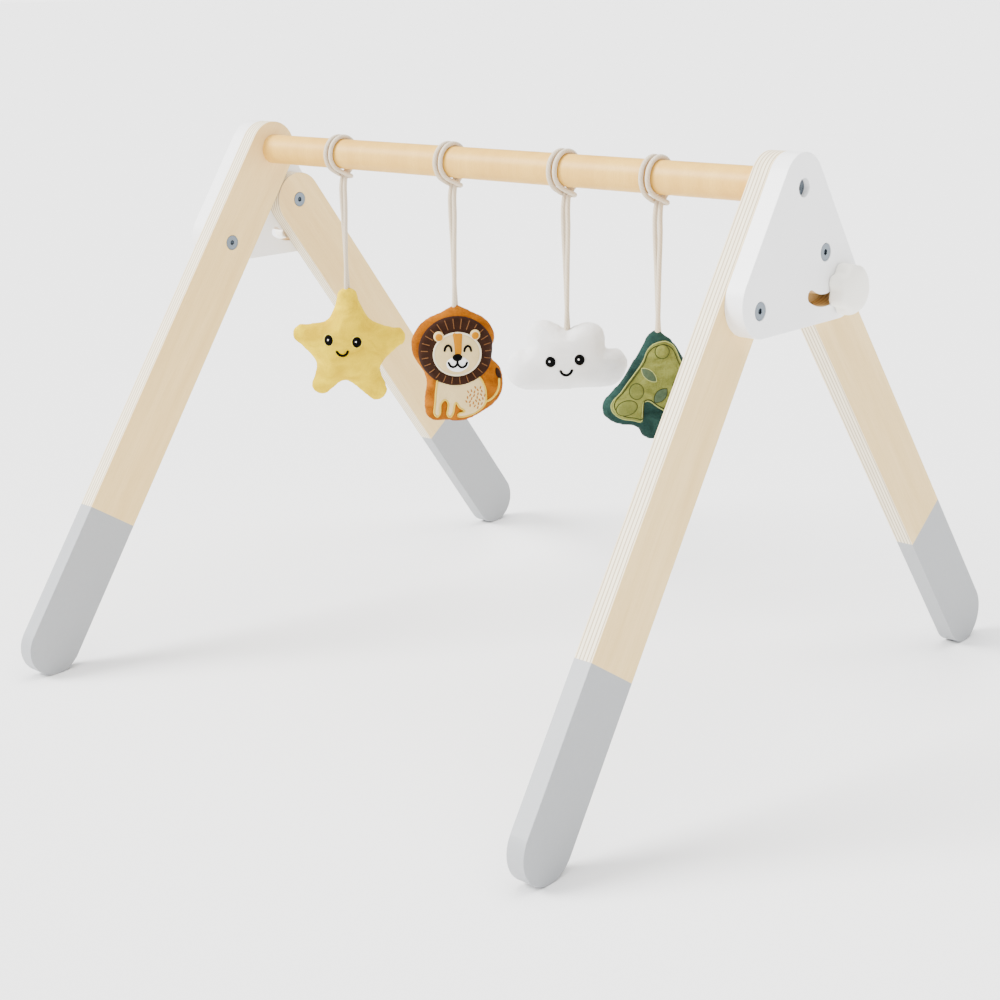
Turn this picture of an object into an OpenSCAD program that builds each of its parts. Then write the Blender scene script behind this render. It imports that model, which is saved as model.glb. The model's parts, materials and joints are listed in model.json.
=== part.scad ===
// Folding wooden play gym for a baby: two folding side frames, a round bar between them
// and four soft toys hitched onto the bar by their cords.
// Millimetres. +Z is up, X runs along the bar, the long front legs lean towards -Y.
// Origin: on the floor, under the middle of the frame's footprint.

/* [Side frames] */
// Thickness of the plywood legs and brackets
ply = 15; // [12:1:18]
// Width of a leg, which also sets its round ends
leg_w = 50; // [44:1:56]
// Front leg, from the bar's axis to the centre of its round foot
front_len = 480; // [440:5:520]
// Lean of the front leg from the vertical
front_tilt = 33.5; // [30:0.5:37]
// Rear leg, from its pivot to the centre of its round foot
rear_len = 435; // [425:5:480]
// Gap between the edges of the two legs when they are folded side by side
leg_gap = 1.5; // [1:0.5:4]

/* [Bar] */
// Length of the bar between the side frames
bar_len = 540; // [500:10:640]
// Diameter of the bar
bar_d = 26; // [24:1:30]

/* [Bracket] */
// Distance of the pivot below the bar's axis, along the front leg
pivot_down = 25; // [20:1:30]
// Distance of the lower bolt below the bar's axis, along the front leg
low_bolt_down = 96; // [85:1:110]
// Distance of the bracket's lower front corner below the bar's axis
low_corner_down = 90; // [80:1:100]
// Distance of the bracket's rear corner from the pivot, along the rear leg
rear_corner_down = 32.5; // [28:0.5:38]
// Radius of the curved slot about the pivot
slot_r = 35; // [32:1:38]
// Width of the curved slot
slot_w = 9; // [8.6:0.2:10]
// Angle that a rear leg turns from standing to folded
fold_deg = 68; // [50:1:69]

/* [Clamp knob] */
// Diameter over the lobes
knob_d = 40; // [34:1:46]
// Height of the knob at its middle
knob_h = 17; // [14:1:22]
// Number of lobes
knob_lobes = 7; // [5:1:9]

/* [Fasteners] */
// Diameter of the bolt heads and of the nut heads
head_d = 13; // [12:0.5:14]
// Thickness of the bolt heads and of the nut heads
head_h = 3; // [2:0.5:4]
// Depth of the bar bolt's head below the bracket's face
bar_head_depth = 4.5; // [3:0.5:6]

/* [Toys] */
// Diameter of the cord
cord_d = 4; // [4:0.2:5]
// Distance between the middles of a hitch's two wraps
wrap_pitch = 6.2; // [5.2:0.2:7]
// Place of the star along the bar
star_x = -179; // [-190:1:-150]
// Place of the lion along the bar
lion_x = -45; // [-55:1:-35]
// Place of the cloud along the bar
cloud_x = 79; // [65:1:80]
// Place of the dinosaur along the bar
dino_x = 170; // [168:1:200]
// Thickness of the two plump toys, the star and the cloud, at their middle
plump_t = 32; // [26:1:36]
// Thickness of the two flat toys, the lion and the dinosaur
pad_t = 18; // [14:1:22]
// Thickness of the sewn-on felt shapes
felt_t = 1.2; // [1:0.1:2]

/* [Hidden] */
$fn = 64;

// Side frame layout, worked out in the Y-Z plane with the front leg's direction as the guide
leg_r = leg_w / 2;
front_dir = [-sin(front_tilt), -cos(front_tilt)];
front_back = [cos(front_tilt), -sin(front_tilt)];
bar_z = leg_r + front_len * cos(front_tilt);
pivot_rel = pivot_down * front_dir + (leg_w + leg_gap) * front_back;
rear_tilt = acos((bar_z + pivot_rel.y - leg_r) / rear_len);
rear_dir = [sin(rear_tilt), -cos(rear_tilt)];
foot_front_y = front_len * front_dir.x;
foot_rear_y = pivot_rel.x + rear_len * rear_dir.x;
bar_y = -(foot_front_y + foot_rear_y) / 2;
bar_at = [bar_y, bar_z];
pivot_at = bar_at + pivot_rel;
front_foot = bar_at + front_len * front_dir;
rear_foot = pivot_at + rear_len * rear_dir;
low_bolt_at = bar_at + low_bolt_down * front_dir;
low_corner = bar_at + low_corner_down * front_dir;
rear_corner = pivot_at + rear_corner_down * rear_dir;
stud_at = pivot_at + slot_r * rear_dir;

// Stations across one side frame, from the middle of the bar outwards
leg_in = bar_len / 2;
leg_out = leg_in + ply;
side_out = leg_out + ply;

// Fits
gap = 0.3;
run = 0.05;
shank_d = 6;
sleeve_d = 8;
stud_d = 8;
sink = 0.3;
hole_d = sleeve_d + 0.4;
recess_d = head_d + 0.6;
recess_h = head_h + sink;
socket_af = 4;
bar_insert_d = 10;
bar_insert_l = 28;
leg_insert_d = 12;
leg_insert_l = 12;
bush_d = 12;
bush_l = 9;

// ---------- Shared shapes ----------

// A flat outline in (y, z), extruded outwards along X from station x0
module plate(x0, t) {
    translate([x0, 0, 0]) rotate([90, 0, 90]) linear_extrude(t) children();
}

// A round bar along X, from station x0 to x1 at the point at = (y, z)
module rod(at, x0, x1, d) {
    translate([x0, at.x, at.y]) rotate([0, 90, 0]) cylinder(h = x1 - x0, d = d);
}

// A hexagonal socket along X
module socket(at, x0, x1) {
    translate([x0, at.x, at.y]) rotate([0, 90, 0]) cylinder(h = x1 - x0, d = socket_af / cos(30), $fn = 6);
}

// The same shape on the right (+X) or the left (-X) side frame
module on_side(side) {
    mirror([side < 0 ? 1 : 0, 0, 0]) children();
}

// A convex outline with round corners: corners run anticlockwise and r is the corner radius
module round_outline(corners, r) {
    n = len(corners);
    normals = [for (i = [0:n - 1]) let (e = corners[(i + 1) % n] - corners[i]) [e.y, -e.x] / norm(e)];
    for (c = corners) translate(c) circle(r);
    polygon([for (i = [0:n - 1]) each [
        corners[i] + r * normals[(i + n - 1) % n],
        corners[i] + r * normals[i]
    ]]);
}

// ---------- Side frames ----------

// Points along an arc about a centre, from angle a0 to a1
function arc(centre, r, a0, a1, steps) =
    [for (i = [0:steps]) let (a = a0 + (a1 - a0) * i / steps) centre + r * [cos(a), sin(a)]];

// Curved slot about the pivot, with round ends about the stud's two end places
module slot_outline() {
    rest_a = rear_tilt - 90;
    fold_a = rest_a - fold_deg;
    half_w = slot_w / 2;
    polygon(concat(
        arc(pivot_at, slot_r + half_w, fold_a, rest_a, 24),
        arc(stud_at, half_w, rest_a + 15, rest_a + 165, 10),
        arc(pivot_at, slot_r - half_w, rest_a, fold_a, 24),
        arc(pivot_at + slot_r * [cos(fold_a), sin(fold_a)], half_w, fold_a + 195, fold_a + 345, 10)
    ));
}

module bracket(side) {
    color("whitesmoke") on_side(side) difference() {
        plate(leg_out, ply) difference() {
            round_outline([bar_at, low_corner, rear_corner], leg_r);
            slot_outline();
        }
        for (p = [bar_at, low_bolt_at, pivot_at]) rod(p, leg_out - 1, side_out + 1, hole_d);
        for (p = [low_bolt_at, pivot_at]) rod(p, side_out - recess_h, side_out + 1, recess_d);
        rod(bar_at, side_out - bar_head_depth - head_h, side_out + 1, recess_d);
    }
}

module front_leg(side) {
    color("burlywood") on_side(side) difference() {
        plate(leg_in, ply) round_outline([bar_at, front_foot], leg_r);
        rod(bar_at, leg_in - 1, leg_out + 1, hole_d);
        rod(low_bolt_at, leg_in - 1, leg_out + 1, hole_d);
        rod(low_bolt_at, leg_in - 1, leg_in + recess_h, recess_d);
    }
}

module rear_leg(side) {
    color("burlywood") on_side(side) difference() {
        plate(leg_in, ply - gap) round_outline([pivot_at, rear_foot], leg_r);
        rod(pivot_at, leg_in - 1, leg_out + 1, sleeve_d + 2 * run);
        rod(pivot_at, leg_in - 1, leg_in + recess_h, recess_d);
        rod(stud_at, leg_out - gap - leg_insert_l, leg_out + 1, leg_insert_d);
    }
}

module leg_insert(side) {
    color("goldenrod") on_side(side) difference() {
        rod(stud_at, leg_out - gap - leg_insert_l, leg_out - gap, leg_insert_d);
        rod(stud_at, leg_out - gap - leg_insert_l - 1, leg_out + 1, stud_d + 2 * run);
    }
}

// ---------- Bar and its fasteners ----------

module crossbar() {
    color("tan") difference() {
        rod(bar_at, -leg_in, leg_in, bar_d);
        for (side = [-1, 1]) on_side(side) rod(bar_at, leg_in - bar_insert_l, leg_in + 1, bar_insert_d);
    }
}

module bar_insert(side) {
    color("silver") on_side(side) difference() {
        rod(bar_at, leg_in - bar_insert_l, leg_in, bar_insert_d);
        rod(bar_at, leg_in - bar_insert_l - 1, leg_in + 1, shank_d + 2 * run);
    }
}

// Socket-head bolt at the point p: head_top is the outer face of its head, tip the end of its shank
module bolt(p, head_top, tip) {
    color("silver") difference() {
        union() {
            rod(p, head_top - head_h, head_top, head_d);
            rod(p, tip, head_top - head_h, shank_d);
        }
        socket(p, head_top - head_h * 0.8, head_top + 1);
    }
}

// Sleeve nut whose head sits in the inner face of a leg
module sleeve_nut(side, p) {
    color("silver") on_side(side) difference() {
        union() {
            rod(p, leg_in + sink, leg_in + sink + head_h, head_d);
            rod(p, leg_in + sink + head_h, side_out - recess_h - 1, sleeve_d);
        }
        rod(p, leg_in + sink + head_h + 1, side_out, shank_d + 2 * run);
        socket(p, leg_in - 1, leg_in + sink + head_h * 0.8);
    }
}

module bar_bolt(side) {
    on_side(side) bolt(bar_at, side_out - bar_head_depth, leg_in - bar_insert_l + 4);
}

module through_bolt(side, p) {
    on_side(side) bolt(p, side_out - sink, leg_in + sink + head_h + 3);
}

// ---------- Clamp knob ----------

module knob_profile() {
    r = knob_d / 2;
    polygon([
        [0, 0], [r - 1.5, 0], [r, 1.5], [r, knob_h * 0.45],
        [r * 0.92, knob_h * 0.68], [r * 0.72, knob_h * 0.87], [r * 0.4, knob_h * 0.97], [0, knob_h]
    ]);
}

module knob(side) {
    lobe_r = knob_d * 0.15;
    lobe_at = knob_d / 2 - lobe_r;
    color("ivory") on_side(side) translate([side_out + gap, stud_at.x, stud_at.y]) rotate([0, 90, 0])
        difference() {
            intersection() {
                rotate_extrude() knob_profile();
                linear_extrude(knob_h + 1) {
                    circle(knob_d * 0.435);
                    for (i = [0:knob_lobes - 1]) rotate(i * 360 / knob_lobes) translate([lobe_at, 0]) circle(lobe_r);
                }
            }
            translate([0, 0, -1]) cylinder(h = bush_l + 1, d = bush_d);
        }
}

module knob_bush(side) {
    color("goldenrod") on_side(side) difference() {
        rod(stud_at, side_out + gap, side_out + gap + bush_l, bush_d);
        rod(stud_at, side_out - 1, side_out + gap + bush_l - 1.5, stud_d);
    }
}

module knob_stud(side) {
    color("silver") on_side(side) rod(stud_at, leg_out - gap - leg_insert_l + 1, side_out + gap + bush_l - 1.5, stud_d);
}

// ---------- Cords ----------

// Each toy hangs on one cord, doubled and cow-hitched round the bar.
// Route of one hanging strand below the hitch: [half spacing, way down 0..1]
strand_route = [
    [2.1, 0], [2.6, 0.1], [3, 0.22], [2.8, 0.34], [2.3, 0.48],
    [2.1, 0.62], [2.1, 0.78], [2.1, 1]
];
// How far the pair of strands twists about each other on the way down
strand_twist = -50;
cord_sides = 8;
hang_back = 1;
ring_in = bar_d / 2 + gap;
ring_out = ring_in + cord_d;
swing_z = bar_z - ring_out - cord_d / 2 - gap;
hang_y = bar_y + hang_back;

// Drop from the bar's axis to the top of each toy, and the way that its face is turned
star_drop = 120;
lion_drop = 121;
cloud_drop = 127;
dino_drop = 119;
star_turn = 55;
lion_turn = 52;
cloud_turn = 41;
dino_turn = 46;

module hitch(x) {
    color("linen") translate([x, bar_y, bar_z]) rotate([0, 90, 0]) rotate_extrude($fn = 64)
        translate([ring_in, -(wrap_pitch + cord_d) / 2]) square([cord_d, wrap_pitch + cord_d]);
}

// One straight-hanging strand as a swept tube with a rounded upper end
module strand(side, length) {
    pts = [for (q = strand_route) let (a = strand_twist * q.y)
        [side * q.x * cos(a), side * q.x * sin(a), -length * q.y]];
    first = pts[0];
    rings = concat(
        [[first + [0, 0, cord_d * 0.47], cord_d * 0.17], [first + [0, 0, cord_d * 0.32], cord_d * 0.38]],
        [for (p = pts) [p, cord_d / 2]]
    );
    n = len(rings);
    points = [for (g = rings, k = [0:cord_sides - 1]) let (t = k * 360 / cord_sides)
        g[0] + g[1] * [cos(t), sin(t), 0]];
    walls = [for (i = [0:n - 2], k = [0:cord_sides - 1]) let (m = (k + 1) % cord_sides)
        [i * cord_sides + k, i * cord_sides + m, (i + 1) * cord_sides + m, (i + 1) * cord_sides + k]];
    top = [for (k = [cord_sides - 1:-1:0]) k];
    bottom = [for (k = [0:cord_sides - 1]) (n - 1) * cord_sides + k];
    polyhedron(points, concat(walls, [top, bottom]));
}

module cord(x, drop) {
    color("linen") translate([x, hang_y, swing_z]) {
        strand(-1, drop - (bar_z - swing_z));
        strand(1, drop - (bar_z - swing_z));
    }
}

// ---------- Toys ----------

// Puts a toy under its cord: local X is its width, -Y its face, and its top is at the origin
module hang(x, drop, turn) {
    translate([x, hang_y, bar_z - drop - gap]) rotate([0, 0, turn]) children();
}

// A toy's flat outline (width, height) given a thickness about its middle
module slab(t) {
    rotate([90, 0, 0]) translate([0, 0, -t / 2]) linear_extrude(t) children();
}

// A felt shape on the front of a flat toy, on top of others when layer is above 0
module felt(layer) {
    translate([0, -pad_t / 2 - layer * felt_t, 0]) rotate([90, 0, 0]) linear_extrude(felt_t) children();
}

module star_outline(tip_at, tip_r, valley_r) {
    for (i = [0:4]) {
        a = 85 + 72 * i;
        tip = tip_at * [cos(a), sin(a)];
        side = tip_r * [-sin(a), cos(a)];
        translate(tip) circle(tip_r);
        polygon([
            [0, 0],
            valley_r * [cos(a - 36), sin(a - 36)],
            tip - side,
            tip + side,
            valley_r * [cos(a + 36), sin(a + 36)]
        ]);
    }
}

module toy_star() {
    color("gold") hang(star_x, star_drop, star_turn) translate([0, 0, -54.4]) {
        slab(plump_t * 0.55) star_outline(44.5, 9.5, 31);
        slab(plump_t) scale(0.62) star_outline(44.5, 9.5, 31);
    }
}

lion_body = [[-20, -60], [-20, -90], [-2, -92], [24, -76], [30, -62], [20, -50]];
lion_head = [0, -37.5];

module toy_lion() {
    color("chocolate") hang(lion_x, lion_drop, lion_turn) slab(pad_t) {
        translate(lion_head) circle(36);
        round_outline(lion_body, 7);
        round_outline([[0, -3], [-12, -18], [12, -18]], 3);
    }
}

module lion_mane() {
    color("saddlebrown") hang(lion_x, lion_drop, lion_turn) felt(0) translate(lion_head) difference() {
        circle(30.5);
        circle(19.1);
    }
}

module lion_face() {
    color("wheat") hang(lion_x, lion_drop, lion_turn) felt(0) translate(lion_head) {
        circle(19);
    }
}

module lion_coat() {
    color("wheat") hang(lion_x, lion_drop, lion_turn) felt(0) difference() {
        round_outline([[-18, -62], [-19, -90], [-2, -91], [14, -80], [14, -62]], 4);
        translate(lion_head) circle(30.7);
    }
}

module cloud_outline() {
    translate([-33, -33]) circle(17);
    translate([-17, -9.5]) circle(17);
    translate([15.5, -11.5]) circle(15.5);
    translate([32.5, -33]) circle(15.5);
    polygon([[-33, -50], [-33, -16], [-17, -9.5], [-3, 0], [3, 0], [15.5, -11.5], [32.5, -17.5], [32.5, -48.5]]);
}

module toy_cloud() {
    color("white") hang(cloud_x, cloud_drop, cloud_turn) translate([0, 0, -2]) {
        slab(plump_t * 0.55) cloud_outline();
        slab(plump_t) translate([0, -10]) scale(0.62) cloud_outline();
    }
}

module toy_dino() {
    color("darkslategray") hang(dino_x, dino_drop, dino_turn) slab(pad_t) {
        round_outline([[0, -9.5], [-34, -56], [-28, -63], [-6, -63], [34, -54], [35, -44]], 9.5);
        round_outline([[-6, -62], [-5, -75.5], [22, -75.5], [30, -58]], 8);
    }
}

module dino_coat() {
    color("darkkhaki") hang(dino_x, dino_drop, dino_turn) felt(0) difference() {
        round_outline([[0, -16], [-32, -58], [-27, -62], [8, -62], [30, -52], [30, -46]], 6);
        translate([-10, -72]) rotate(20) square([14, 30], center = true);
    }
}

crossbar();
bar_insert(-1);  // bar_insert_left
bar_insert(1);  // bar_insert_right
bar_bolt(-1);  // bar_bolt_left
bar_bolt(1);  // bar_bolt_right
front_leg(-1);  // front_leg_left
front_leg(1);  // front_leg_right
bracket(-1);  // bracket_left
bracket(1);  // bracket_right
through_bolt(-1, low_bolt_at);  // frame_bolt_left
through_bolt(1, low_bolt_at);  // frame_bolt_right
sleeve_nut(-1, low_bolt_at);  // frame_nut_left
sleeve_nut(1, low_bolt_at);  // frame_nut_right
through_bolt(-1, pivot_at);  // pivot_bolt_left
through_bolt(1, pivot_at);  // pivot_bolt_right
sleeve_nut(-1, pivot_at);  // pivot_nut_left
sleeve_nut(1, pivot_at);  // pivot_nut_right
rear_leg(-1);  // rear_leg_left
rear_leg(1);  // rear_leg_right
leg_insert(-1);  // leg_insert_left
leg_insert(1);  // leg_insert_right
knob(-1);  // knob_left
knob(1);  // knob_right
knob_bush(-1);  // knob_bush_left
knob_bush(1);  // knob_bush_right
knob_stud(-1);  // knob_stud_left
knob_stud(1);  // knob_stud_right
hitch(star_x);  // hitch_star
hitch(lion_x);  // hitch_lion
hitch(cloud_x);  // hitch_cloud
hitch(dino_x);  // hitch_dino
cord(star_x, star_drop);  // cord_star
cord(lion_x, lion_drop);  // cord_lion
cord(cloud_x, cloud_drop);  // cord_cloud
cord(dino_x, dino_drop);  // cord_dino
toy_star();
toy_lion();
lion_mane();
lion_face();
lion_coat();
toy_cloud();
toy_dino();
dino_coat();
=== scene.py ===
"""The looks of a folding wooden play gym with four hanging toys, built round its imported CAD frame.

Metres. +Z is up, X runs along the bar, and the long front legs lean towards -Y.
Millimetre sizes are written as numbers times MM. A toy has its own flat coordinates: u across its face,
w up from its top, and depth away from the viewer of its face.
"""

import json
import math

import bmesh
import bpy
import numpy as np
from mathutils import Matrix, Vector, geometry
from mathutils.bvhtree import BVHTree


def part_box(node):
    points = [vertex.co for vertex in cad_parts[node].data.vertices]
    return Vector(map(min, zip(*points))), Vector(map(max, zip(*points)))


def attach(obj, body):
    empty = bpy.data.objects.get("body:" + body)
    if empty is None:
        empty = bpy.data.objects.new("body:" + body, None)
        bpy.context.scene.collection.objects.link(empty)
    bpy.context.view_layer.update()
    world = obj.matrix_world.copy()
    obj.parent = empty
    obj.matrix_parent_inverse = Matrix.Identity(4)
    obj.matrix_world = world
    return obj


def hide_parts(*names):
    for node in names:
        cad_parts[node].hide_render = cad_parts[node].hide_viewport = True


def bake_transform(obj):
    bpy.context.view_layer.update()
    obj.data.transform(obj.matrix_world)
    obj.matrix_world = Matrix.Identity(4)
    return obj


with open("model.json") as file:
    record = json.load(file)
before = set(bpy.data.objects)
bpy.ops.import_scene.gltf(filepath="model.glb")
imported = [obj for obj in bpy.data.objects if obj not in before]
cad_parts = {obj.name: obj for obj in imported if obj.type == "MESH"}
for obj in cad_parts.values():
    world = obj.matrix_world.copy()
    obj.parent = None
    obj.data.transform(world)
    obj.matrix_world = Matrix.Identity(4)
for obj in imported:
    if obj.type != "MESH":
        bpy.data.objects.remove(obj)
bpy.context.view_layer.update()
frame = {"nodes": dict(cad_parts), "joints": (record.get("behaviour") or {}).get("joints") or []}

MM = 0.001
SIDES = ("left", "right")
nodes = frame["nodes"]
joints = {j["name"]: j for j in frame["joints"]}
scene = bpy.context.scene


def middle(node):
    """Middle of a CAD node's box."""
    low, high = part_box(node)
    return (low + high) / 2


# ---------- Camera ----------

def make_camera():
    """A camera a little above the bar and to the right of the front, with a slight roll."""
    azimuth, elevation, roll = (math.radians(a) for a in (42.48, 11.4, -1.21))
    back = Vector((
        math.sin(azimuth) * math.cos(elevation),
        -math.cos(azimuth) * math.cos(elevation),
        math.sin(elevation),
    ))
    level = Vector((math.cos(azimuth), math.sin(azimuth), 0))
    rise = back.cross(level)
    right = math.cos(roll) * level + math.sin(roll) * rise
    up = math.cos(roll) * rise - math.sin(roll) * level
    data = bpy.data.cameras.new("camera")
    data.sensor_width = 36
    data.lens = 63.31
    data.shift_x, data.shift_y = -0.0079, -0.1645
    data.clip_start, data.clip_end = 0.05, 200
    camera = bpy.data.objects.new("camera", data)
    scene.collection.objects.link(camera)
    turn = Matrix((right, up, back)).transposed().to_4x4()
    camera.matrix_world = Matrix.Translation((0.9732, -1.0563, 0.5714)) @ turn
    scene.camera = camera


make_camera()


# ---------- Materials ----------

def add(tree, kind, settings=None, **inputs):
    """Adds a shader node. Inputs are named, or numbered as _0, and take values or other nodes' outputs."""
    made = tree.nodes.new(kind)
    for key, value in (settings or {}).items():
        setattr(made, key, value)
    for key, value in inputs.items():
        socket = made.inputs[int(key[1:])] if key[0] == "_" else made.inputs[key.replace("_", " ")]
        if isinstance(value, bpy.types.NodeSocket):
            tree.links.new(value, socket)
        else:
            socket.default_value = value
    return made


def calc(tree, operation, *values):
    """A Math node's result."""
    inputs = {f"_{i}": value for i, value in enumerate(values)}
    return add(tree, "ShaderNodeMath", {"operation": operation}, **inputs).outputs[0]


def dot(tree, vector, direction):
    """How far a point lies along a fixed direction."""
    made = add(tree, "ShaderNodeVectorMath", {"operation": "DOT_PRODUCT"}, _0=vector, _1=direction)
    return made.outputs["Value"]


def mix(tree, share, a, b):
    """Two colours mixed by share."""
    made = add(tree, "ShaderNodeMix", {"data_type": "RGBA"}, _0=share)
    for socket, value in ((made.inputs[6], a), (made.inputs[7], b)):
        if isinstance(value, bpy.types.NodeSocket):
            tree.links.new(value, socket)
        else:
            socket.default_value = (*value, 1)
    return made.outputs[2]


def noise(tree, vector, scale, detail=3, roughness=0.5, distortion=0):
    """A noise texture's value."""
    return add(tree, "ShaderNodeTexNoise", Vector=vector, Scale=scale, Detail=detail, Roughness=roughness,
               Distortion=distortion).outputs["Fac"]


def spread(tree, value, low, high, to_low=0, to_high=1):
    """A value's range from low to high stretched to another range, and held at its ends."""
    return add(tree, "ShaderNodeMapRange", _0=value, _1=low, _2=high, _3=to_low, _4=to_high).outputs[0]


def bump(tree, height, distance, strength=1, onto=None):
    """A normal tilted by a height pattern; distance is the pattern's real height."""
    made = add(tree, "ShaderNodeBump", Height=height, Distance=distance, Strength=strength)
    if onto:
        tree.links.new(onto, made.inputs["Normal"])
    return made.outputs["Normal"]


def object_point(tree):
    """The point in the piece's own coordinates, which stay with it when it moves."""
    return add(tree, "ShaderNodeTexCoord").outputs["Object"]


def stretched(tree, point, directions, scales):
    """The point measured along three directions, each with its own scale."""
    parts = [calc(tree, "MULTIPLY", dot(tree, point, d), s) for d, s in zip(directions, scales)]
    return add(tree, "ShaderNodeCombineXYZ", _0=parts[0], _1=parts[1], _2=parts[2]).outputs[0]


def finish_of(name, colour, roughness, **sockets):
    """A material with a Principled shader. Returns (material, tree, shader)."""
    material = bpy.data.materials.new(name)
    material.use_nodes = True
    tree = material.node_tree
    shader = tree.nodes["Principled BSDF"]
    if colour:
        shader.inputs["Base Color"].default_value = (*colour, 1)
    shader.inputs["Roughness"].default_value = roughness
    for key, value in sockets.items():
        shader.inputs[key.replace("_", " ")].default_value = value
    return material, tree, shader


PALE_BIRCH = (0.9, 0.66, 0.29)
DEEP_BIRCH = (0.74, 0.48, 0.17)
PLY_CREAM = (0.9, 0.81, 0.61)
PLY_LINE = (0.4, 0.28, 0.14)
FOOT_GREY = (0.31, 0.32, 0.33)
LEG_W = 50 * MM
# The curved slot's bare wood: half its width, and its ends behind and below the pivot
SLOT_HALF_W, SLOT_REAR_END, SLOT_TOP = 5.5 * MM, 27 * MM, -12 * MM


def wood_face(tree, point, along, across, pale, deep):
    """Birch veneer: broad soft bands, fine grain and short pores, all drawn out along the grain."""
    axes = (along, across, (1, 0, 0))
    bands = noise(tree, stretched(tree, point, axes, (4, 45, 45)), 1, 4, 0.55, 0.6)
    grain = noise(tree, stretched(tree, point, axes, (25, 900, 900)), 1, 3, 0.6)
    pores = noise(tree, stretched(tree, point, axes, (160, 2400, 2400)), 1, 1)
    colour = mix(tree, spread(tree, bands, 0.3, 0.72, 0, 0.7), pale, deep)
    colour = mix(tree, spread(tree, grain, 0.45, 0.75, 0, 0.5), colour, deep)
    colour = mix(tree, spread(tree, pores, 0.64, 0.74, 0, 0.3), colour, tuple(0.72 * c for c in deep))
    return colour, grain


def birch_ply(name, along, foot, painted):
    """Plywood leg: veneer on its faces, glued layers on its edges and, past a line, a dip of grey paint.
    along is the leg's direction down to its foot, foot the middle of its round end and painted the length
    of paint from its very end.
    """
    material, tree, shader = finish_of(name, None, 0.5, Specular_IOR_Level=0.4)
    point = object_point(tree)
    across = Vector((0, -along.z, along.y))
    axes = (along, across, (1, 0, 0))
    veneer, grain = wood_face(tree, point, along, across, PALE_BIRCH, DEEP_BIRCH)

    depth = calc(tree, "ABSOLUTE", dot(tree, point, (1, 0, 0)))
    low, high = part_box("front_leg_right")
    wander = noise(tree, stretched(tree, point, axes, (14, 60, 0)), 1, 2)
    layer = calc(tree, "ADD", spread(tree, depth, low.x, high.x), spread(tree, wander, 0, 1, -0.03, 0.03))
    ramp = add(tree, "ShaderNodeValToRGB", _0=layer)
    stops = ramp.color_ramp.elements
    stops[0].position, stops[0].color = 0, (*PALE_BIRCH, 1)
    stops[1].position, stops[1].color = 1, (*PALE_BIRCH, 1)
    glue_line = ((-0.045, PLY_CREAM), (-0.01, PLY_LINE), (0.01, PLY_LINE), (0.045, PLY_CREAM))
    for at in (0.1, 0.3, 0.5, 0.7, 0.9):
        for offset, colour in glue_line:
            stops.new(at + offset).color = (*colour, 1)
    fibres = noise(tree, stretched(tree, point, axes, (50, 700, 1600)), 1, 3)
    layers = mix(tree, spread(tree, fibres, 0.4, 0.8, 0, 0.3), ramp.outputs[0], PLY_LINE)

    normal = add(tree, "ShaderNodeTexCoord").outputs["Normal"]
    facing = calc(tree, "ABSOLUTE", dot(tree, normal, (1, 0, 0)))
    wood = mix(tree, spread(tree, facing, 0.55, 0.8), layers, veneer)

    speckle = noise(tree, point, 260, 2)
    paint = mix(tree, speckle, FOOT_GREY, tuple(1.06 * c for c in FOOT_GREY))
    down = calc(tree, "SUBTRACT", dot(tree, point, along), foot.dot(along))
    dipped = calc(tree, "GREATER_THAN", calc(tree, "ADD", down, painted - LEG_W / 2), 0)
    tree.links.new(mix(tree, dipped, wood, paint), shader.inputs["Base Color"])
    tree.links.new(spread(tree, dipped, 0, 1, 0.55, 0.42), shader.inputs["Roughness"])
    peel = noise(tree, point, 900, 2)
    height = calc(tree, "MULTIPLY", grain, calc(tree, "SUBTRACT", 1, dipped))
    lift = bump(tree, height, 0.06 * MM)
    tree.links.new(bump(tree, peel, 0.02 * MM, 1, lift), shader.inputs["Normal"])
    return material


def bar_wood():
    """The round bar: warmer, oiled wood with its grain along the bar."""
    material, tree, shader = finish_of("bar_wood", None, 0.45, Specular_IOR_Level=0.4)
    point = object_point(tree)
    colour, grain = wood_face(tree, point, (1, 0, 0), (0, 1, 0), (0.76, 0.46, 0.085), (0.58, 0.3, 0.04))
    tree.links.new(colour, shader.inputs["Base Color"])
    tree.links.new(bump(tree, grain, 0.05 * MM), shader.inputs["Normal"])
    return material


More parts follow.
